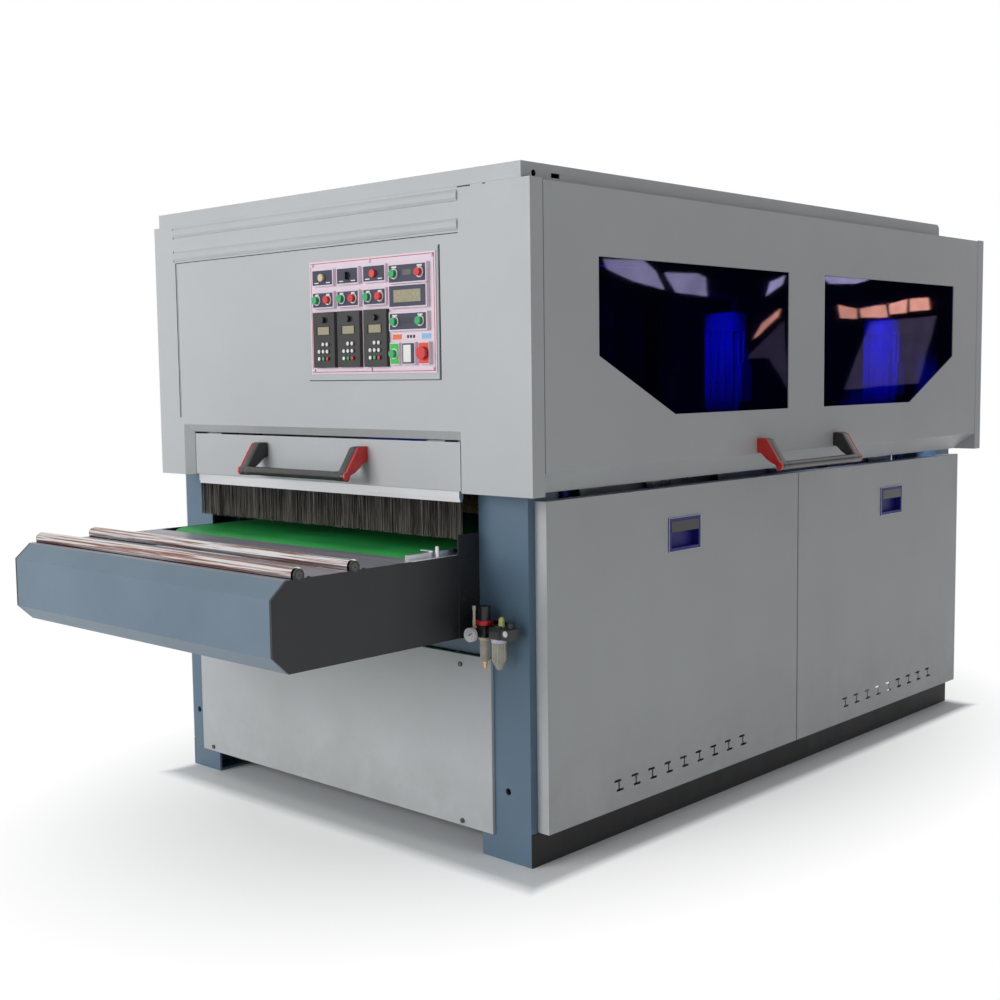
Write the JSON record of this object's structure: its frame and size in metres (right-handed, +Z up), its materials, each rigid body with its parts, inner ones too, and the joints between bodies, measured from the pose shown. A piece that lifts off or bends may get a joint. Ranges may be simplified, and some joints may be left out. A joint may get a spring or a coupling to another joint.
{
  "type": "wide brush sanding machine",
  "caption": "Wide brush sanding machine with belt table, lifting brush carriage, bristle curtains, hinged side doors and control plate in a sheet-metal housing.",
  "frame": {"origin": "floor level in the middle of the overall length and width", "axes": "+X to the operator's right seen from the infeed end, +Y along the feed direction, +Z up"},
  "size_m": [1.924, 3.7, 1.912],
  "materials": {
    "paint": "satin",
    "frame_paint": "satin",
    "charcoal_paint": "satin",
    "motor_paint": "gloss",
    "steel": "brushed",
    "chrome": "polished",
    "belt": "matte",
    "drive_belt": "matte",
    "bristle": "matte",
    "abrasive": "matte",
    "handle": "gloss",
    "pull": "gloss",
    "window": "gloss",
    "plate": "satin",
    "dark_plastic": "matte",
    "green_plastic": "gloss",
    "red_plastic": "gloss",
    "lamp": "gloss"
  },
  "bodies": {
    "housing": {"base_frame": "frame_paint", "kick_plates": "charcoal_paint", "front_base_cover": "paint", "rear_and_left_covers": "paint", "cover_screws": "steel", "front_hood": "paint", "rear_hood": "paint", "roof_cover": "paint", "curtain_rails": "steel", "front_curtain": "bristle", "rear_curtain": "bristle", "conveyor_bed": "charcoal_paint", "nose_covers": "frame_paint", "conveyor_belt": "belt", "conveyor_gearmotor": "motor_paint", "belt_guide": "steel", "lift_jacks": "motor_paint", "air_unit": "dark_plastic", "control_plate": "plate", "pilot_lamps": "lamp", "drive_keypads": "dark_plastic"},
    "hatch": {"front_hatch": "paint", "front_handle": "handle"},
    "right_side_door": {"right_door": "paint", "right_windows": "window", "right_handle": "handle"},
    "left_side_door": {"left_door": "paint", "left_windows": "window", "left_handle": "handle"},
    "front_lower_panel": {"right_front_panel": "paint", "front_panel_pull": "pull"},
    "rear_lower_panel": {"right_rear_panel": "paint", "rear_panel_pull": "pull"},
    "drive_drum": {"drive_roller": "steel"},
    "tail_drum": {"tail_roller": "steel"},
    "support_front": {"support_roller_front": "chrome"},
    "support_rear": {"support_roller_rear": "chrome"},
    "carriage": {"brush_carriage": "steel", "brush_motors": "motor_paint", "brush_belts": "drive_belt"},
    "knob": {"regulator_knob": "red_plastic"},
    "selector": {"mode_selector": "handle"},
    "brush_unit_1": {"brush_1": "abrasive"},
    "brush_unit_2": {"brush_2": "abrasive"},
    "brush_unit_3": {"brush_3": "abrasive"},
    "brush_unit_4": {"brush_4": "abrasive"},
    "brush_unit_5": {"brush_5": "abrasive"},
    "brush_unit_6": {"brush_6": "abrasive"},
    "lamp_row_start_button": {"lamp_row_start": "green_plastic"},
    "lamp_row_stop_button": {"lamp_row_stop": "red_plastic"},
    "group_1_start_button": {"group_1_start": "green_plastic"},
    "group_1_stop_button": {"group_1_stop": "red_plastic"},
    "group_2_start_button": {"group_2_start": "green_plastic"},
    "group_2_stop_button": {"group_2_stop": "red_plastic"},
    "group_3_start_button": {"group_3_start": "green_plastic"},
    "group_3_stop_button": {"group_3_stop": "red_plastic"},
    "table_up_button": {"table_up": "green_plastic"},
    "table_down_button": {"table_down": "green_plastic"},
    "feed_start_button": {"feed_start": "green_plastic"},
    "emergency_stop_button": {"emergency_stop": "red_plastic"}
  },
  "joints": [
    {"name": "hatch_lift", "type": "hinge", "parent": "housing", "child": "hatch", "pos_m": [0, -1.209, 1.184], "axis": [-1, 0, 0], "range_deg": [0, 60]},
    {"name": "right_door_lift", "type": "hinge", "parent": "housing", "child": "right_side_door", "pos_m": [0.852, 0.105, 1.852], "axis": [0, -1, 0], "range_deg": [0, 75]},
    {"name": "left_door_lift", "type": "hinge", "parent": "housing", "child": "left_side_door", "pos_m": [-0.852, 0.105, 1.852], "axis": [0, 1, 0], "range_deg": [0, 75]},
    {"name": "front_panel_removal", "type": "slide", "parent": "housing", "child": "front_lower_panel", "axis": [1, 0, 0], "range_m": [0, 0.4]},
    {"name": "rear_panel_removal", "type": "slide", "parent": "housing", "child": "rear_lower_panel", "axis": [1, 0, 0], "range_m": [0, 0.4]},
    {"name": "drive_drum_spin", "type": "hinge", "parent": "housing", "child": "drive_drum", "pos_m": [0, 1.481, 0.812], "axis": [1, 0, 0], "continuous": true},
    {"name": "tail_drum_spin", "type": "hinge", "parent": "housing", "child": "tail_drum", "pos_m": [0, -1.271, 0.812], "axis": [1, 0, 0], "continuous": true},
    {"name": "support_front_spin", "type": "hinge", "parent": "housing", "child": "support_front", "pos_m": [0, -1.762, 0.882], "axis": [1, 0, 0], "continuous": true},
    {"name": "support_rear_spin", "type": "hinge", "parent": "housing", "child": "support_rear", "pos_m": [0, -1.58, 0.882], "axis": [1, 0, 0], "continuous": true},
    {"name": "carriage_lift", "type": "slide", "parent": "housing", "child": "carriage", "axis": [0, 0, 1], "range_m": [0, 0.1]},
    {"name": "brush_1_spin", "type": "hinge", "parent": "carriage", "child": "brush_unit_1", "pos_m": [0, -0.7345, 1.026], "axis": [1, 0, 0], "continuous": true},
    {"name": "brush_2_spin", "type": "hinge", "parent": "carriage", "child": "brush_unit_2", "pos_m": [0, -0.3745, 1.026], "axis": [1, 0, 0], "continuous": true},
    {"name": "brush_3_spin", "type": "hinge", "parent": "carriage", "child": "brush_unit_3", "pos_m": [0, -0.0145, 1.026], "axis": [1, 0, 0], "continuous": true},
    {"name": "brush_4_spin", "type": "hinge", "parent": "carriage", "child": "brush_unit_4", "pos_m": [0, 0.3455, 1.026], "axis": [1, 0, 0], "continuous": true},
    {"name": "brush_5_spin", "type": "hinge", "parent": "carriage", "child": "brush_unit_5", "pos_m": [0, 0.7055, 1.026], "axis": [1, 0, 0], "continuous": true},
    {"name": "brush_6_spin", "type": "hinge", "parent": "carriage", "child": "brush_unit_6", "pos_m": [0, 1.0655, 1.026], "axis": [1, 0, 0], "continuous": true},
    {"name": "regulator_turn", "type": "hinge", "parent": "housing", "child": "knob", "pos_m": [0.615, -1.165, 0.6803], "axis": [0, 0, 1], "range_deg": [-150, 150]},
    {"name": "selector_turn", "type": "hinge", "parent": "housing", "child": "selector", "pos_m": [0.17782, -1.26, 1.65817], "axis": [0, 1, 0], "range_deg": [-45, 45]},
    {"name": "lamp_row_start_press", "type": "slide", "parent": "housing", "child": "lamp_row_start_button", "axis": [0, 1, 0], "range_m": [0, 0.004], "stiffness_N_per_m": 300},
    {"name": "lamp_row_stop_press", "type": "slide", "parent": "housing", "child": "lamp_row_stop_button", "axis": [0, 1, 0], "range_m": [0, 0.004], "stiffness_N_per_m": 300},
    {"name": "group_1_start_press", "type": "slide", "parent": "housing", "child": "group_1_start_button", "axis": [0, 1, 0], "range_m": [0, 0.004], "stiffness_N_per_m": 300},
    {"name": "group_1_stop_press", "type": "slide", "parent": "housing", "child": "group_1_stop_button", "axis": [0, 1, 0], "range_m": [0, 0.004], "stiffness_N_per_m": 300},
    {"name": "group_2_start_press", "type": "slide", "parent": "housing", "child": "group_2_start_button", "axis": [0, 1, 0], "range_m": [0, 0.004], "stiffness_N_per_m": 300},
    {"name": "group_2_stop_press", "type": "slide", "parent": "housing", "child": "group_2_stop_button", "axis": [0, 1, 0], "range_m": [0, 0.004], "stiffness_N_per_m": 300},
    {"name": "group_3_start_press", "type": "slide", "parent": "housing", "child": "group_3_start_button", "axis": [0, 1, 0], "range_m": [0, 0.004], "stiffness_N_per_m": 300},
    {"name": "group_3_stop_press", "type": "slide", "parent": "housing", "child": "group_3_stop_button", "axis": [0, 1, 0], "range_m": [0, 0.004], "stiffness_N_per_m": 300},
    {"name": "table_up_press", "type": "slide", "parent": "housing", "child": "table_up_button", "axis": [0, 1, 0], "range_m": [0, 0.004], "stiffness_N_per_m": 300},
    {"name": "table_down_press", "type": "slide", "parent": "housing", "child": "table_down_button", "axis": [0, 1, 0], "range_m": [0, 0.004], "stiffness_N_per_m": 300},
    {"name": "feed_start_press", "type": "slide", "parent": "housing", "child": "feed_start_button", "axis": [0, 1, 0], "range_m": [0, 0.004], "stiffness_N_per_m": 300},
    {"name": "emergency_stop_press", "type": "slide", "parent": "housing", "child": "emergency_stop_button", "axis": [0, 1, 0], "range_m": [0, 0.004], "stiffness_N_per_m": 300}
  ],
  "couplings": [
    {"joint": "tail_drum_spin", "follows": "drive_drum_spin", "ratio": 1},
    {"joint": "brush_2_spin", "follows": "brush_1_spin", "ratio": 1},
    {"joint": "brush_4_spin", "follows": "brush_3_spin", "ratio": 1},
    {"joint": "brush_6_spin", "follows": "brush_5_spin", "ratio": 1}
  ]
}
